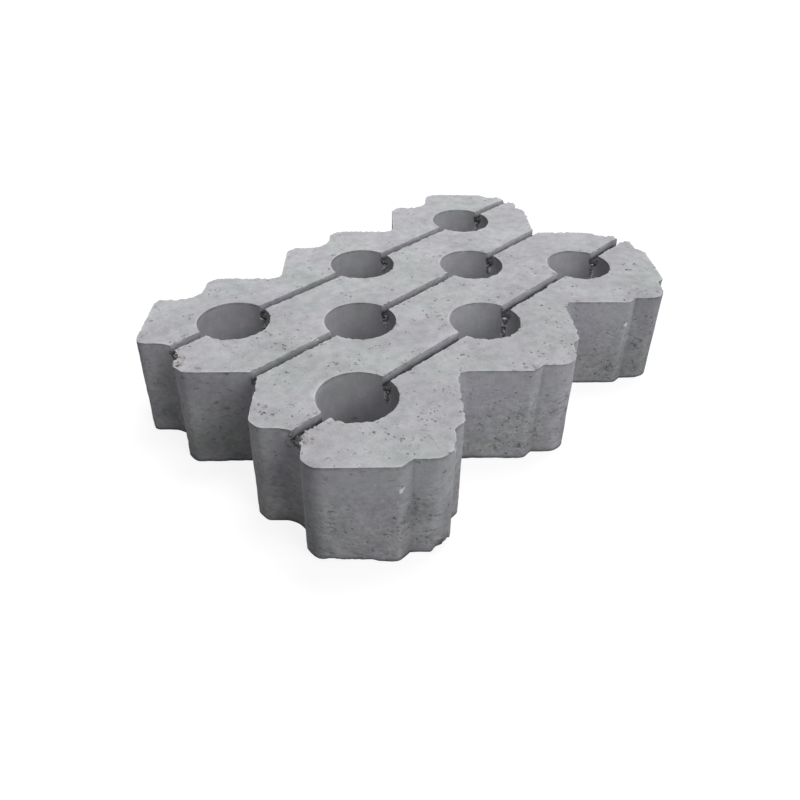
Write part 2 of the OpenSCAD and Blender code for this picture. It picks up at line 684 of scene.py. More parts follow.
rubbleSpots = [
    ((-186, -74, 80), 9, 0.8),  # the near lips of the grooves' mouths
    ((-183, -82, 80), 6, 0.5),
    ((-188, 60, 80), 8, 0.8),
    ((-196, 52, 80), 11, 1.0),
    ((-137, -146, 3), 9, 0.5),  # foot of the front lug
    ((-177, -72, 80), 6, 0.35),  # the near edge of the first groove
    ((-186, -64, 70), 7, 0.6),
    ((-186, 64, 72), 6, 0.6),
]
stainAndHighlightSpots = [
    ((-201, -96), 9, -0.2),
    ((-197, 35, 16), 17, -0.22),
    ((-197, 34, 72), 10, -0.14),
    ((-196, -50, 43), 13, -0.12),
    ((-150, -137, 36), 14, -0.12),
    ((-152, -135, 5), 10, -0.18),
    ((-190, -57, 13), 13, 0.14),
    ((-195, 83, 20), 14, -0.12),
    ((-134, 15, 80), 15, -0.06),
    ((-138, -147, 3), 9, -0.35),
    ((-48, -115, 60), 26, 0.08),  # the middle front face
    ((87, -115, 15), 28, -0.12),  # the far right lug
    ((110, -138, 18), 24, -0.13),
    ((-188, -38, 80), 12, -0.07),
    ((-145, -42, 80), 5, 0.16),  # painted highlight on the rim of the first bore
    ((-152, -45, 80), 5, 0.16),
    ((-57, -105, -1), 8, -0.32),  # foot of the middle front face
    ((-50, -112, -2), 6, -0.25),
]
breaks = [
    ((211, 67, 77), 10, (-3.2, 0, -1)),  # the tips beside the grooves' mouths
    ((211, -67, 77), 10, (-3, 0, -1)),
    ((-135, -148, -1), 11, (0.6, 1.6, 2.2)),  # foot of the front lug
    ((-199, -97, -1), 17, (0.5, 0.5, 2.8)),  # worn foot of the front face
    ((-181, -113, -1), 17, (0.5, 0.5, 1.7)),
    ((-126, -144, 79), 4, (-0.8, 0.8, -1.3)),
    ((-186, -62, 76), 6, (0.9, 0.4, -0.6)),  # lips of the grooves' mouths
    ((-185, 73, 79), 5, (1, 0, -0.8)),
    ((-199, 49, 80), 7, (0.4, 0, -0.9)),
]
castingErrors = [
    ((-181, 115), 46, (1.3, -1.3, 0)),  # the outer face at the far left
    ((-196, -85), 16, (-0.7, 0.7, 0)),
]


def nearness(verts, at, reach):
    # 1 around the middle of a spot, falling to 0 at its reach; without a height it is a column
    distance = np.linalg.norm(verts[:, :len(at)] - np.array(at) * mm, axis=1)
    return smoothStep((1 - distance / (reach * mm)) * 2)


def spotWeight(verts, spots):
    return np.max([strength * nearness(verts, at, reach) for at, reach, strength in spots], axis=0)


def spotSum(verts, spots):
    return sum(np.multiply.outer(nearness(verts, at, reach), amount) for at, reach, amount in spots)


def newGeometryTree(name, numbers):
    # a tree with a geometry, a material and one named input for each number
    tree = bpy.data.node_groups.new(name, "GeometryNodeTree")
    making["tree"] = tree
    face = tree.interface
    face.new_socket("Geometry", in_out="INPUT", socket_type="NodeSocketGeometry")
    face.new_socket("Material", in_out="INPUT", socket_type="NodeSocketMaterial")
    for label, value in numbers.items():
        kind = "NodeSocketInt" if isinstance(value, int) else "NodeSocketFloat"
        face.new_socket(label, in_out="INPUT", socket_type=kind)
    face.new_socket("Geometry", in_out="OUTPUT", socket_type="NodeSocketGeometry")
    return tree, addNode("NodeGroupInput").outputs


def endTree(given, shape):
    whole = addNode("GeometryNodeRealizeInstances", {0: shape}).outputs[0]
    inputs = {"Geometry": whole, "Material": given["Material"]}
    finished = addNode("GeometryNodeSetMaterial", inputs).outputs[0]
    addNode("NodeGroupOutput", {0: finished})


def runTree(piece, tree, material, numbers):
    # evaluates the tree on the piece and leaves a plain mesh
    modifier = piece.modifiers.new(tree.name, "NODES")
    modifier.node_group = tree
    values = dict(numbers, Material=material)
    for item in tree.interface.items_tree:
        if item.in_out == "INPUT" and item.name in values:
            modifier[item.identifier] = values[item.name]
    graph = bpy.context.evaluated_depsgraph_get()
    made = bpy.data.meshes.new_from_object(piece.evaluated_get(graph), depsgraph=graph)
    piece.modifiers.remove(modifier)
    old = piece.data
    piece.data = made
    made.name = piece.name
    bpy.data.meshes.remove(old)


def named(name, kind="FLOAT"):
    node = addNode("GeometryNodeInputNamedAttribute", {"Name": name}, data_type=kind)
    return node.outputs["Attribute"]


def outwardBy(amount, lift=0.0):
    # a shift out of the concrete, with a lift for each unit outwards
    way = named("outward", "FLOAT_VECTOR")
    if lift:
        way = vectorCalc("ADD", way, (0, 0, lift))
    return vectorCalc("SCALE", way, scale=amount)


concreteRelief = {
    "Ripple": 0.00035,  # gentle unevenness of the cast faces
    "Honeycomb": 0.0005,  # hollows low on the sides
    "Nicks": 0.0011,  # crumbled top edges
    "Chips": 0.0016,
    "Lips": 0.0013,  # ragged mortar that leans out past the top edges
    "Bulges": 0.0018,
    "Foot wear": 0.0004,  # uneven bottom edge
    "Trails": 0.0012,  # how much the streaks below the grooves stand out
    "Rubble": 0.0028,  # broken corners
    "Seed": 3,
}
reliefNoises = {  # scale, detail and roughness of each, and the stretch of it that counts
    "ripple": (30, 2, 0.5, 0.3, 0.7),
    "honeycomb": (100, 3, 0.55, 0.56, 0.74),
    "nicks": (300, 3, 0.6, 0.5, 0.7),
    "chips": (100, 3, 0.6, 0.63, 0.72),
    "lips": (370, 2, 0.55, 0.43, 0.66),
    "bulges": (120, 3, 0.6, 0.53, 0.70),
    "footWaves": (48, 2, 0.5, 0.4, 0.64),
    "footCrumbling": (210, 3, 0.6, 0.46, 0.7),
    "breaks": (240, 3, 0.6, 0.3, 0.7),
}


def reliefNoise(given, place, name, low=0.0, high=1.0):
    *texture, start, stop = reliefNoises[name]
    return remap(cloud(place, *texture, given["Seed"]), start, stop, low, high)


def castUnevenness(given, place, normal):
    side = remap(calc("ABSOLUTE", heightOf(normal)), 0.3, 0.6, 1, 0)
    ripple = product(reliefNoise(given, place, "ripple"), given["Ripple"])
    low = remap(heightOf(place), 0.060, 0.028, 0, 1)
    holes = reliefNoise(given, stretched(place, 2.2), "honeycomb")
    holes = product(holes, low, side, opposite(named("bore")), given["Honeycomb"])
    sunk = calc("MULTIPLY", calc("ADD", ripple, holes), -1.0)
    return vectorCalc("SCALE", normal, scale=sunk)


def rimWear(given, place):
    # nicks everywhere along the top edges, fewer on the clean sides, and a larger chip here and there
    rim = named("rim")
    often = total(0.7, product(named("lip"), 0.3))
    nicks = reliefNoise(given, place, "nicks", 0.15, 1)
    nicks = product(nicks, fade(rim, 0.0, 0.0024), often, given["Nicks"])
    chips = reliefNoise(given, place, "chips")
    chips = product(chips, fade(rim, 0.0, 0.0045), often, given["Chips"])
    return outwardBy(product(total(nicks, chips), -1.0), 0.9)


def rimLips(given, place):
    # mortar that squeezed out past the edges
    rim = named("rim")
    lip = named("lip")
    lips = reliefNoise(given, place, "lips")
    lips = product(lips, lip, fade(rim, 0.0005, 0.0027), given["Lips"])
    bulges = product(reliefNoise(given, place, "bulges"), remap(lip, 0.35, 0.75))
    bulges = product(bulges, fade(rim, 0.001, 0.0046), given["Bulges"])
    return outwardBy(total(lips, bulges))


def footWear(given, place):
    waves = reliefNoise(given, place, "footWaves")
    crumbling = reliefNoise(given, place, "footCrumbling", 0, 0.45)
    atFoot = fade(named("foot"), 0.0, 0.0042)
    worn = product(total(waves, crumbling), atFoot, given["Foot wear"])
    shift = vectorCalc("ADD", outwardBy(-0.6), (0, 0, 0.9))
    return vectorCalc("SCALE", shift, scale=worn)


def trailRelief(given, place):
    lumps = calc("SUBTRACT", cloud(place, 230, 3, 0.65, given["Seed"]), 0.42)
    return outwardBy(product(named("trail"), lumps, given["Trails"], 5.0))


def rubbleRelief(given, place):
    # lumps and holes where a corner is broken, more down than up
    lumps = calc("SUBTRACT", cloud(place, 230, 3, 0.7, given["Seed"]), 0.53)
    return outwardBy(product(named("rubble"), lumps, given["Rubble"], 4.0), 0.8)


def reliefTree():
    tree, given = newGeometryTree("concreteRelief", concreteRelief)
    place = addNode("GeometryNodeInputPosition").outputs[0]
    normal = addNode("GeometryNodeInputNormal").outputs[0]
    moved = castUnevenness(given, place, normal)
    for part in (rimWear, rimLips, footWear, trailRelief, rubbleRelief):
        moved = vectorCalc("ADD", moved, part(given, place))
    share = reliefNoise(given, place, "breaks", 0.85, 1.1)
    pull = vectorCalc("SCALE", named("pull", "FLOAT_VECTOR"), scale=share)
    moved = vectorCalc("ADD", moved, pull)
    shape = addNode("GeometryNodeSetPosition", {"Geometry": given["Geometry"], "Offset": moved})
    endTree(given, shape.outputs[0])
    return tree


rimCrumbs = {
    "Size": 0.0008,  # radius of a middling crumb
    "Roughness": 0.0004,
    "Seed": 11,
}
crumbPlaces = {
    "lumps": (0.0032, 0.0066),  # how far the first pale lump is below a groove's floor, and the next below it
    "onTrail": 6,
    "onWindow": 4,
    "atMouth": (12, 4),  # at the near mouths of the outer grooves, and at the other mouths
    "onLips": 0.06,  # share of the points along the top edges
    "onRubble": 9,
}


def crumbKind(given, number):
    # one irregular lump of mortar
    lump = addNode("GeometryNodeMeshUVSphere", {"Segments": 8, "Rings": 5, "Radius": given["Size"]})
    place = addNode("GeometryNodeInputPosition").outputs[0]
    normal = addNode("GeometryNodeInputNormal").outputs[0]
    bumps = calc("SUBTRACT", cloud(place, 900, 2, 0.6, 3.7 * number), 0.5)
    bumps = vectorCalc("SCALE", normal, scale=product(bumps, 4.5, given["Roughness"]))
    lump = addNode("GeometryNodeSetPosition", {"Geometry": lump.outputs[0], "Offset": bumps})
    return addNode("GeometryNodeGeometryToInstance", {0: lump.outputs[0]}).outputs[0]


def randomVector(given, least, most):
    inputs = {"Min": least, "Max": most, "Seed": given["Seed"]}
    return addNode("FunctionNodeRandomValue", inputs, data_type="FLOAT_VECTOR").outputs["Value"]


def crumbTree():
    # lumps on the points it is given, sized by their "size"
    tree, given = newGeometryTree("rimCrumbs", rimCrumbs)
    kinds = addNode("GeometryNodeJoinGeometry")
    for n in range(4):
        tree.links.new(crumbKind(given, n), kinds.inputs[0])
    turn = randomVector(given, (0, 0, 0), (6.28, 6.28, 6.28))
    squash = randomVector(given, (0.6, 0.5, 0.35), (1.6, 1.3, 0.9))
    lumps = addNode("GeometryNodeInstanceOnPoints", {
        "Points": given["Geometry"],
        "Instance": kinds.outputs[0],
        "Pick Instance": True,
        "Rotation": turn,
        "Scale": vectorCalc("SCALE", squash, scale=named("size")),
    })
    endTree(given, lumps.outputs[0])
    return tree


def boreCrumbs(block, rng):
    # place, size and tone of the crumbs on the walls of the bores, where the grooves break in
    points = []
    floor, high, half = block["floor"], block["high"], block["halfWidth"]
    first, further = crumbPlaces["lumps"]
    steps = crumbPlaces["onTrail"]
    trails = zip(block["bores"], windowTrailsAndShade["lengths"], windowTrailsAndShade["lumps"])
    for (centre, radius), length, lump in trails:
        for n in range(2):
            across = rng.gauss(-0.0006, 0.0007)
            x = centre[0] + math.sqrt(radius ** 2 - across ** 2) - 0.0004
            z = floor - first - further * n
            points.append((x, centre[1] + across, z, lump * rng.uniform(1.1, 1.4), rng.uniform(1.6, 1.9)))
        for n in range(steps):  # down the trail
            across = rng.gauss(0, 0.0011)
            x = centre[0] + math.sqrt(radius ** 2 - across ** 2) + 0.0004
            z = floor - length * (0.12 + 0.75 * n / (steps - 1)) + rng.uniform(-0.001, 0.001)
            points.append((x, centre[1] + across, z, rng.uniform(0.7, 1.7), rng.uniform(1.1, 1.9)))
        for n in range(crumbPlaces["onWindow"]):  # the sides of the window
            side = rng.choice((-1, 1)) * (half + rng.uniform(-0.0002, 0.0006))
            x = centre[0] + math.sqrt(radius ** 2 - side ** 2) + rng.uniform(0.0, 0.0008)
            z = rng.uniform(floor, high - 0.002)
            points.append((x, centre[1] + side, z, rng.uniform(0.4, 0.9), rng.uniform(0.5, 1.1)))
    return points


def mouthCrumbs(block, rng):
    # at both ends of the grooves
    points = []
    floor, high, half = block["floor"], block["high"], block["halfWidth"]
    outline = block["outlineEven"]
    many, few = crumbPlaces["atMouth"]
    for row in block["rows"]:
        near = outline[np.abs(outline[:, 1] - row) < half + 0.002]
        for end in (-1, 1):
            mouth = [p for p in near if p[0] * end > 0.1]
            for n in range(many if end < 0 and row else few):
                p = rng.choice(mouth)
                z = floor - abs(rng.gauss(0, 0.004))
                if abs(p[1] - row) > half:
                    z = rng.uniform(floor - 0.004, high - 0.003)
                points.append((p[0] - end * 0.0006, p[1], z, rng.uniform(0.5, 1.2), rng.uniform(0.35, 0.85)))
    return points


def lipCrumbs(rims, rng):
    # along the top edges that face the far side
    points = []
    for x, y, z, outX, outY, ragged in rims:
        if (outX + outY) * diagonal > 0.3 and rng.random() < crumbPlaces["onLips"] * ragged:
            reach = rng.uniform(-0.0004, 0.0004)
            points.append((x + outX * reach, y + outY * reach, z - rng.uniform(0.0007, 0.0016),
                           rng.uniform(0.5, 1.1), rng.uniform(0.9, 1.25)))
    return points


def rubbleCrumbs(rims, rng):
    # where the top edges are broken
    points = []
    for (x, y, z), reach, _ in rubbleSpots:
        if z < 80:
            continue
        close = [p for p in rims if math.dist(p[:2], (x * mm, y * mm)) < 1.1 * reach * mm
                 and abs(p[1] - y * mm) < 0.0055]
        for n in range(min(crumbPlaces["onRubble"], len(close))):
            p = rng.choice(close)
            back = rng.uniform(-0.0005, 0.0028)
            points.append((p[0] - p[3] * back, p[1] - p[4] * back, p[2] - rng.uniform(0.0009, 0.0016),
                           rng.uniform(0.6, 1.4), rng.uniform(0.85, 1.1)))
    return points


def makeCrumbs(block, arris, material):
    rng = random.Random(rimCrumbs["Seed"])
    rims = [point for point in arris if point[2] > block["high"] - 1e-6]
    points = boreCrumbs(block, rng) + mouthCrumbs(block, rng) + lipCrumbs(rims, rng) + rubbleCrumbs(rims, rng)
    mesh = bpy.data.meshes.new("rimCrumbs")
    mesh.from_pydata([p[:3] for p in points], [], [])
    for number, name in ((3, "size"), (4, "tone")):
        mesh.attributes.new(name, "FLOAT", "POINT").data.foreach_set("value", [p[number] for p in points])
    piece = addObject("rimCrumbs", mesh)
    runTree(piece, crumbTree(), material, rimCrumbs)
    print("crumbs:", len(points), "lumps,", len(piece.data.polygons), "faces")
    return piece


def keepInside(piece):
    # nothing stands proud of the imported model's box
    mesh = piece.data
    co = np.empty(len(mesh.vertices) * 3, np.float32)
    mesh.vertices.foreach_get("co", co)
    co = np.clip(co.reshape(-1, 3), cadLow, cadHigh)
    mesh.vertices.foreach_set("co", co.astype(np.float32).ravel())
    mesh.update()


def shadeEdges(piece, angle):
    piece.data.shade_smooth()
    piece.data.set_sharp_from_angle(angle=math.radians(angle))


concreteLook = {
    "top": (0.408, 0.4085, 0.4235),
    # the sides get a bluish tint, painted in for the colour of the light on them
    "sides": (1.005, 0.998, 1.023),
    "bores": (1.004, 1.004, 0.992),
    "warm": (1.03, 1.0, 0.94),  # broken concrete shows its sand
    "mossy": (1.0, 1.006, 0.965),
    "tints": ((0.982, 1.014, 0.99), (1.012, 0.99, 1.022)),  # greenish and bluish patches
    "mottle": 0.075,  # how much the broad patches vary
    "blotch": 0.10,
    "grain": 0.048,
    "marks": 0.09,  # short flat marks on the sides
    "dents": (0.0005, 0.12),  # how deep the small dents there look, and how much darker
    "paintedFarSheen": (0.92, 1.05),  # painted sheen on the top, from the near side to the far side
    "paintedAcrossLight": (1.045, 0.985),  # and painted light on the top from the left end to the right end
    "paintedSideShade": (0.88, 1.09, 0.88),  # painted shade on the sides, from the left end to the middle to the right end
    "paintedBoreLight": (0.76, 1.30, 0.83),  # painted light and shade on the bores' walls: those that face left, the front and right
    "lowSides": (0.066, 0.030),  # the sides get dirtier from the first height down to the second
    "pitShade": 0.26,  # colour left in a pit
    "stainShades": (0.88, 0.90, 0.80),  # stains, honeycombed patches and smudges on the sides
    "turnedShade": 0.80,  # painted shade at the foot of the sides that turn away to the right
    "edgeShades": (0.66, 0.40, 0.78),  # painted shade under the top edges, along the foot and in the inner corners
    # painted highlight along the top edges
    "arrisHighlight": 1.14,
    "grooveShade": 0.22,  # painted shade at the bottom of the grooves
    "streakShades": (2.1, 0.35),  # pale drips in the bores and the dark between them
    "paleGrains": 1.2,
    "fineBump": 0.00019,  # height of the grain
    "coarseBump": (0.00045, 0.0012),  # of the coarser grain, and what broken concrete adds
    "pitDepth": 0.0006,
    "roughness": 0.9,
}
concreteNoises = {  # scale, detail, roughness and seed of each, and the stretch of it that counts
    "mottle": (26, 4, 0.55, 1, 0.3, 0.7),
    "blotch": (120, 4, 0.6, 2, 0.3, 0.7),
    "grain": (640, 3, 0.7, 3, 0.28, 0.72),
    "pitClusters": (30, 2, 0.5, 4, 0.46, 0.66),
    "paleGrains": (520, 1, 0.5, 6, 0.67, 0.75),
    "honeycomb": (100, 3, 0.55, 7, 0.5, 0.68),
    "stains": (40, 4, 0.65, 8, 0.42, 0.66),
    "smudges": (170, 3, 0.6, 12, 0.56, 0.70),
    "smudged": (30, 2, 0.5, 13, 0.40, 0.6),
    "tints": (22, 4, 0.7, 17, 0.36, 0.64),
    "edgeShadeBreaks": (130, 3, 0.6, 18, 0.38, 0.62),
    "arrisHighlight": (90, 3, 0.6, 21, 0.4, 0.6),
    "marks": (230, 2.5, 0.5, 23, 0.34, 0.66),
    "dented": (44, 3, 0.55, 24, 0.40, 0.60),
    "moss": (38, 3, 0.6, 26, 0.42, 0.6),
}
# Light and dark spots: their place and reach in millimetres, and how many times as pale
fleckSpots = [
    ((-162, -134, 61), 2.8, 2.2),
    ((-24, -138, 56), 2.0, 2.0),
    ((106, -134, 58), 3.0, 1.9),
    ((121, -139, 34), 2.6, 0.58),  # the far right lug
    ((118, -137, 36), 2.0, 0.62),
    ((124, -142, 38), 1.8, 0.6),
    ((105, -133, 17), 2.2, 0.62),
    ((108, -135, 14), 1.6, 0.65),
    ((101, -129, 19), 2.4, 0.7),
    ((91, -119, 32), 2.6, 0.76),
    ((123, -141, 11), 2.2, 0.7),
    ((131, -146, 33), 1.8, 0.6),
    ((1, -146, 36), 2.6, 0.62),  # the middle front face
    ((-11, -142, 38), 2.0, 0.7),
    ((-15, -138, 54), 2.2, 0.72),
    ((-33, -130, 32), 1.7, 0.68),
    ((-20, -138, 17), 2.0, 0.72),
    ((-45, -118, 12), 2.0, 0.76),
    ((-148, -139, 43), 2.0, 0.72),  # the front lug
    ((-145, -142, 30), 2.4, 0.72),
    ((-139, -146, 9), 2.2, 0.6),
    ((-118, -46, 40), 2.8, 0.72),
]
# Scratches in the top: from and to, in millimetres, and how dark
scratchLines = [
    ((-131, -126), (-136, -138), 0.72),
    ((-131, -119), (-128, -124), 0.75),
    ((-121, -23), (-123, -38), 0.78),
    ((-127, -27), (-124, -32), 0.75),
]


def noise(place, name, low=0.0, high=1.0):
    *texture, start, stop = concreteNoises[name]
    return remap(cloud(place, *texture), start, stop, low, high)


def about(place, name, middle=0.0):
    # as much above the middle as below it
    amount = concreteLook[name]
    return noise(place, name, middle - amount, middle + amount)


def shadeBy(mask, shade):
    # 1 where the mask is 0, and the shade where it is 1
    return addNode("ShaderNodeMapRange", {"Value": mask, "To Min": 1.0, "To Max": shade}).outputs[0]


def stored(name):
    return addNode("ShaderNodeAttribute", attribute_name=name).outputs["Fac"]


def outerSides(side):
    return product(side, opposite(stored("bore")))


def castSkin(place, top, side):
    # the plain skin: broad patches, blotches and grain, times the painted light across the block and the
    # stored tone, which holds stains, painted highlights and painted shade
    blotch = product(about(place, "blotch"), shadeBy(side, 0.6))
    return product(about(place, "mottle", 1), total(1.0, blotch), sideMarks(place, side),
                   about(place, "grain", 1), paintedLightDrift(place, top, side), stored("tone"))


def sideMarks(place, side):
    # short flat marks and small dents on the outer sides
    marks = about(stretched(place, 1.5), "marks")
    lower = remap(heightOf(place), 0.07, 0.05, 0.5, 1)
    marks = total(1.0, product(marks, outerSides(side), lower))
    return product(marks, shadeBy(sideDents(place, side), 1 - concreteLook["dents"][1]))


def paintedLightDrift(place, top, side):
    # painted light and shade: the top is painted lighter towards the far side and the left end, the sides
    # darker towards both ends
    x, y, _ = separate(place)
    across = total(x, y)
    along = calc("SUBTRACT", x, y)
    left, middle, right = concreteLook["paintedSideShade"]
    topSheen = product(remap(across, -0.26, 0.28, *concreteLook["paintedFarSheen"]),
                      remap(along, -0.2, 0.24, *concreteLook["paintedAcrossLight"]))
    paintedSideShade = product(remap(along, -0.14, 0.10, left, middle),
                       remap(along, 0.235, 0.275, 1, right / middle))
    return total(product(top, topSheen), product(side, paintedSideShade), opposite(total(top, side)))


def facingRight(normal):
    return measure("DOT_PRODUCT", normal, (diagonal, -diagonal, 0))


def boreShade(place, normal, side):
    # painted light and shade in the bores: darkest on the walls that face left and near the foot, lightest on
    # the walls that face the front
    bore = product(stored("bore"), side)
    facing = facingRight(normal)
    left, middle, right = concreteLook["paintedBoreLight"]
    wall = product(remap(facing, -1.0, -0.65, left, middle), remap(facing, -0.5, 0.3, 1, right))
    deeper = remap(heightOf(place), 0.078, 0.058, -0.08, 0.13)
    depth = total(0.98, product(deeper, remap(facing, -0.1, 0.4, 1, 0.35)))
    foot = remap(stored("foot"), 0.006, 0.040, 0.42, 1)
    return total(product(bore, wall, depth, foot), opposite(bore))


def turnedShade(place, normal, side):
    # painted shade: the sides that turn away to the right are darker low down
    away = product(side, remap(facingRight(normal), 0.4, 0.8), opposite(stored("bore")))
    low = remap(heightOf(place), 0.055, 0.026)
    return shadeBy(product(away, low), concreteLook["turnedShade"])


def pitMask(place, density, scale, largest, seed):
    # scattered pits of uneven shape; the density says how many of the cells have one
    smallest = 0.12
    scatter = addNode("ShaderNodeTexNoise", {"Vector": place, "Scale": scale * 1.7, "Detail": 1.0})
    shift = vectorCalc("SUBTRACT", scatter.outputs["Color"], (0.5 - seed, 0.5, 0.5 + seed))
    moved = vectorCalc("ADD", place, vectorCalc("SCALE", shift, scale=1.2 / scale))
    cells = addNode("ShaderNodeTexVoronoi", {"Vector": moved, "Scale": scale})
    chance = addNode("ShaderNodeSeparateColor", {0: cells.outputs["Color"]}).outputs
    present = calc("LESS_THAN", chance[0], density)
    radius = total(smallest, product(chance[1], chance[1], largest - smallest))
    inside = fade(calc("DIVIDE", cells.outputs["Distance"], radius), 0.2, 1.5)
    strength = total(0.45, product(chance[2], 0.55))
    return product(present, inside, strength)


def allPits(place, top, side):
    # few on the plain top, more in loose clusters, in the worn spots and low on the sides
    x, y, z = separate(place)
    farSide = remap(total(x, y), 0.0, 0.20)
    cast = product(opposite(stored("bore")), shadeBy(farSide, 0.45))
    low = product(side, remap(z, 0.066, 0.035))
    often = total(product(top, 0.36), product(low, 0.45))
    base = total(0.05, product(noise(place, "pitClusters"), often))
    worn = calc("MAXIMUM", stored("pitted"), stored("rubble"))
    density = product(total(base, product(worn, 0.95)), cast)
    flat = stretched(place, 1.5)
    fine = pitMask(flat, product(density, 0.75), 400, 0.48, 0.0)
    coarse = pitMask(flat, product(density, 0.85), 215, 0.42, 3.0)
    return product(calc("MAXIMUM", fine, coarse), shadeBy(side, 0.8))


def sideStains(place, side, smoothness):
    # darker bands and honeycombed patches in the lower half of the outer sides
    low = remap(heightOf(place), *concreteLook["lowSides"])
    rough = product(side, opposite(smoothness))
    flat = stretched(place, 1.8)
    masks = (product(low, rough, noise(flat, "stains")), product(low, rough, noise(flat, "honeycomb")),
             product(rough, noise(place, "smudged"), noise(flat, "smudges")))
    shades = concreteLook["stainShades"]
    return product(*(shadeBy(mask, shade) for mask, shade in zip(masks, shades)))


def sideDents(place, side):
    # small flat dents, each apart from the next, mostly low down
    fewer = remap(heightOf(place), *concreteLook["lowSides"], 0.06, 0)
    dents = cloud(stretched(place, 1.15), 200, 1.2, 0.5, 25)
    dents = remap(calc("SUBTRACT", dents, fewer), 0.56, 0.72)
    return product(dents, noise(place, "dented"), side, opposite(stored("bore")))


def lowMoss(place, side):
    # a trace of green and brown low on the sides
    return product(side, noise(place, "moss"), remap(heightOf(place), 0.055, 0.02))


def paintedEdgeShade(place, side):
    # a thin uneven painted shadow under the top edges, along the foot and in the inner corners
    uneven = noise(place, "edgeShadeBreaks", 0.25, 1)
    masks = (product(side, uneven, fade(stored("rim"), 0.0006, 0.0034)),
             product(side, fade(stored("foot"), 0.0002, 0.0036)),
             product(side, stored("inner"), total(0.3, product(uneven, 0.7))))
    shades = concreteLook["edgeShades"]
    return product(*(shadeBy(mask, shade) for mask, shade in zip(masks, shades)))


def arrisHighlight(place, top):
    # painted highlight: thin pale lines round the top edges
    edge = fade(stored("rim"), 0.0006, 0.0026)
    uneven = noise(place, "arrisHighlight", 0.2, 1)
    return shadeBy(product(top, uneven, edge), concreteLook["arrisHighlight"])


def scratches(place, top):
    # thin wavering lines in the top
    wave = calc("SUBTRACT", cloud(place, 220, 2, 0.5, 22), 0.5)
    result = 1.0
    for first, last, dark in scratchLines:
        start, stop = (Vector((x * mm, y * mm, cadHigh[2])) for x, y in (first, last))
        along = stop - start
        offset = vectorCalc("SUBTRACT", place, tuple(start))
        share = measure("DOT_PRODUCT", offset, tuple(along / along.length_squared))
        share = addNode("ShaderNodeClamp", {0: share}).outputs[0]
        nearest = vectorCalc("SCALE", tuple(along), scale=share)
        away = total(measure("DISTANCE", offset, nearest), product(wave, 0.003))
        line = fade(calc("ABSOLUTE", away), 0.0001, 0.0005)
        result = product(shadeBy(product(top, line), dark), result)
    return result


def grooveDepthShade(place):
    # painted shade: the grooves darken quickly with depth
    uneven = product(calc("SUBTRACT", cloud(place, 260, 3, 0.65, 14), 0.5), 0.005)
    hollow = stored("hollow")
    depth = total(hollow, product(uneven, remap(hollow, 0.0005, 0.003)))
    return product(remap(depth, 0.0036, 0.0086, 1.0, concreteLook["grooveShade"]),
                   shadeBy(remap(hollow, 0.0003, 0.0010), 1.05))


def trailStreaks(place):
    # pale drips below the grooves' way into the bores, dark between them
    trail = stored("trail")
    drips = cloud(stretched(place, 0.8), 310, 2.5, 0.6, 15)
    pale, dark = concreteLook["streakShades"]
    return product(shadeBy(product(trail, remap(drips, 0.52, 0.58)), pale),
                   shadeBy(product(trail, remap(drips, 0.48, 0.42)), dark))


def flecks(place):
    # fine pale grains, pale spots where the skin has come off, and dark hollows
    uneven = product(calc("SUBTRACT", cloud(place, 420, 2, 0.5, 16), 0.5), 0.005)
    result = shadeBy(noise(place, "paleGrains"), concreteLook["paleGrains"])
    for at, reach, shade in fleckSpots:
        offset = vectorCalc("SUBTRACT", place, tuple(value * mm for value in at))
        distance = total(measure("LENGTH", offset), uneven)
        spot = fade(distance, reach * 0.3 * mm, reach * mm)
        result = product(result, shadeBy(spot, shade))
    return result


def mixTint(amount, first, second):
    return addNode("ShaderNodeMix", {0: amount, 4: first, 5: second}, data_type="VECTOR").outputs[1]


def concreteColour(place, side, shade):
    base = mixTint(noise(place, "tints"), *concreteLook["tints"])
    base = vectorCalc("MULTIPLY", base, concreteLook["top"])
    masks = {
        "sides": side,
        "bores": stored("bore"),
        "warm": stored("rubble"),
        "mossy": lowMoss(place, side),
    }
    for name, mask in masks.items():
        base = vectorCalc("MULTIPLY", base, mixTint(mask, (1, 1, 1), concreteLook[name]))
    return vectorCalc("SCALE", base, scale=shade)


def concreteBump(place, side, smoothness, pits):
    # the height of grain, pits and dents, in metres
    plain = product(opposite(smoothness), shadeBy(side, 0.45))
    height, brokenHeight = concreteLook["coarseBump"]
    coarse = total(height, product(stored("rubble"), brokenHeight))
    coarse = product(cloud(place, 230, 3, 0.6, 10), plain, coarse)
    fine = product(cloud(place, 900, 3, 0.7, 9), plain, concreteLook["fineBump"])
    dents = product(sideDents(place, side), concreteLook["dents"][0])
    holes = total(product(pits, concreteLook["pitDepth"]), dents)
    return calc("SUBTRACT", total(fine, coarse), holes)


def newMaterial(name):
    material = bpy.data.materials.new(name)
    material.use_nodes = True
    material.node_tree.nodes.clear()
    making["tree"] = material.node_tree
    return material


def concreteMaterial():
    material = newMaterial("concrete")
    place = addNode("ShaderNodeTexCoord").outputs["Object"]
    normal = addNode("ShaderNodeNewGeometry").outputs["Normal"]
    upright = heightOf(normal)
    top = remap(upright, 0.45, 0.75)
    side = remap(calc("ABSOLUTE", upright), 0.35, 0.65, 1, 0)
    smoothness = product(stored("bore"), 0.8)
    pits = allPits(place, top, side)
    shade = product(
        castSkin(place, top, side),
        shadeBy(pits, concreteLook["pitShade"]),
        sideStains(place, side, smoothness),
        paintedEdgeShade(place, side),
        boreShade(place, normal, side),
        turnedShade(place, normal, side),
        arrisHighlight(place, top),
        scratches(place, top),
        grooveDepthShade(place),
        trailStreaks(place),
        flecks(place),
    )
    relief = concreteBump(place, side, smoothness, pits)
    shader = addNode("ShaderNodeBsdfPrincipled", {
        "Base Color": concreteColour(place, side, shade),
        "Roughness": concreteLook["roughness"],
        "Specular IOR Level": 0.3,
        "Normal": addNode("ShaderNodeBump", {"Height": relief, "Strength": 1.0, "Distance": 1.0}).outputs[0],
    })
    addNode("ShaderNodeOutputMaterial", {0: shader.outputs[0]})
    return material


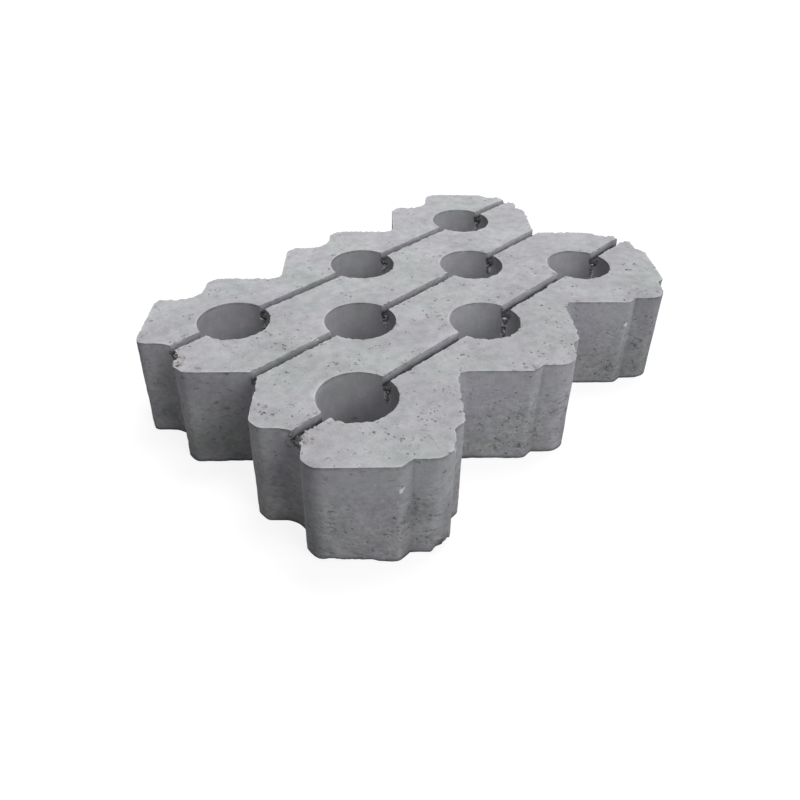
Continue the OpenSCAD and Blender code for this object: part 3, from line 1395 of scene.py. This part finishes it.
block = readBlock(cadNode)
print("outline of", len(block["outline"]), "points,", len(block["bores"]), "bores")
concrete = concreteMaterial()
surfaceMesh, arris = buildSurface(block)
paver = addObject("paverSurface", surfaceMesh)
runTree(paver, reliefTree(), concrete, concreteRelief)
keepInside(paver)
shadeEdges(paver, 38)
print("relief on", len(paver.data.vertices), "vertices")
crumbs = makeCrumbs(block, arris, concrete)
keepInside(crumbs)
shadeEdges(crumbs, 60)

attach(paver, "root")
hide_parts("paver_block")
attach(crumbs, "root")

studio = {
    "lamps": (
        {"name": "highLamp", "towards": (0.393, 0.105, 0.914), "strength": 2.06, "angle": 30},
        {"name": "sideLamp", "towards": (0.0, -0.743, 0.669), "strength": 1.01, "angle": 30},
        {"name": "lowLamp", "towards": (0.0, -0.951, 0.309), "strength": 0.39, "angle": 30},
    ),
    "sky": 0.235,
    "floorReach": 12.0,
    "floorHeight": -0.0004,
    "floorBounce": 0.22,  # what the floor gives back to the object
    "floorShadow": 0.2,  # how strongly it shows the shadow
    "floorLight": 1.06,  # how bright it looks away from the shadow
}
cameraView = {
    "place": (-0.3897, -0.3411, 0.3633),
    "turn": (57.211, -1.396, -47.452),
    "lens": 32.45,
    "sensor": 36,
    "shift": (-0.0165, -0.0732),
}


def grey(level):
    return (level, level, level, 1)


def mixSeen(unseen, seen):
    # the second shader for what the camera sees, also by way of a mirror or glass
    rays = addNode("ShaderNodeLightPath").outputs
    direct = calc("MAXIMUM", rays["Is Camera Ray"], rays["Is Glossy Ray"])
    direct = calc("MAXIMUM", direct, rays["Is Transmission Ray"])
    return addNode("ShaderNodeMixShader", {0: direct, 1: unseen.outputs[0], 2: seen.outputs[0]}).outputs[0]


def makeFloor():
    mesh = bpy.data.meshes.new("floor")
    reach, height = studio["floorReach"], studio["floorHeight"]
    corners = ((-1, -1), (1, -1), (1, 1), (-1, 1))
    mesh.from_pydata([(x * reach, y * reach, height) for x, y in corners], [], [(0, 1, 2, 3)])
    floor = addObject("floor", mesh)
    material = newMaterial("paleFloor")
    shown = studio["floorShadow"]
    pale = addNode("ShaderNodeBsdfDiffuse", {"Color": grey(shown)})
    glow = addNode("ShaderNodeEmission", {"Color": grey(1), "Strength": studio["floorLight"] - shown})
    bright = addNode("ShaderNodeAddShader", {0: pale.outputs[0], 1: glow.outputs[0]})
    dull = addNode("ShaderNodeBsdfDiffuse", {"Color": grey(studio["floorBounce"])})
    addNode("ShaderNodeOutputMaterial", {0: mixSeen(dull, bright)})
    mesh.materials.append(material)


def makeLamps():
    for lamp in studio["lamps"]:
        data = bpy.data.lights.new(lamp["name"], "SUN")
        data.energy = lamp["strength"]
        data.angle = math.radians(lamp["angle"])
        sun = addObject(lamp["name"], data)
        sun.rotation_euler = Vector(lamp["towards"]).to_track_quat("Z", "Y").to_euler()


def makeSky():
    world = bpy.data.worlds.new("studio")
    bpy.context.scene.world = world
    world.use_nodes = True
    world.node_tree.nodes.clear()
    making["tree"] = world.node_tree
    dim, white = (addNode("ShaderNodeBackground", {"Color": grey(level), "Strength": 1.0})
                  for level in (studio["sky"], 1))
    addNode("ShaderNodeOutputWorld", {0: mixSeen(dim, white)})


def makeCamera():
    data = bpy.data.cameras.new("camera")
    data.lens = cameraView["lens"]
    data.sensor_width = cameraView["sensor"]
    data.shift_x, data.shift_y = cameraView["shift"]
    data.clip_start = 0.01
    camera = addObject("camera", data)
    camera.location = cameraView["place"]
    camera.rotation_euler = [math.radians(angle) for angle in cameraView["turn"]]
    bpy.context.scene.camera = camera


makeFloor()
makeLamps()
makeSky()
makeCamera()
bpy.context.scene.view_settings.view_transform = "Standard"
print("floor, lamps, sky and camera")

bpy.context.view_layer.update()
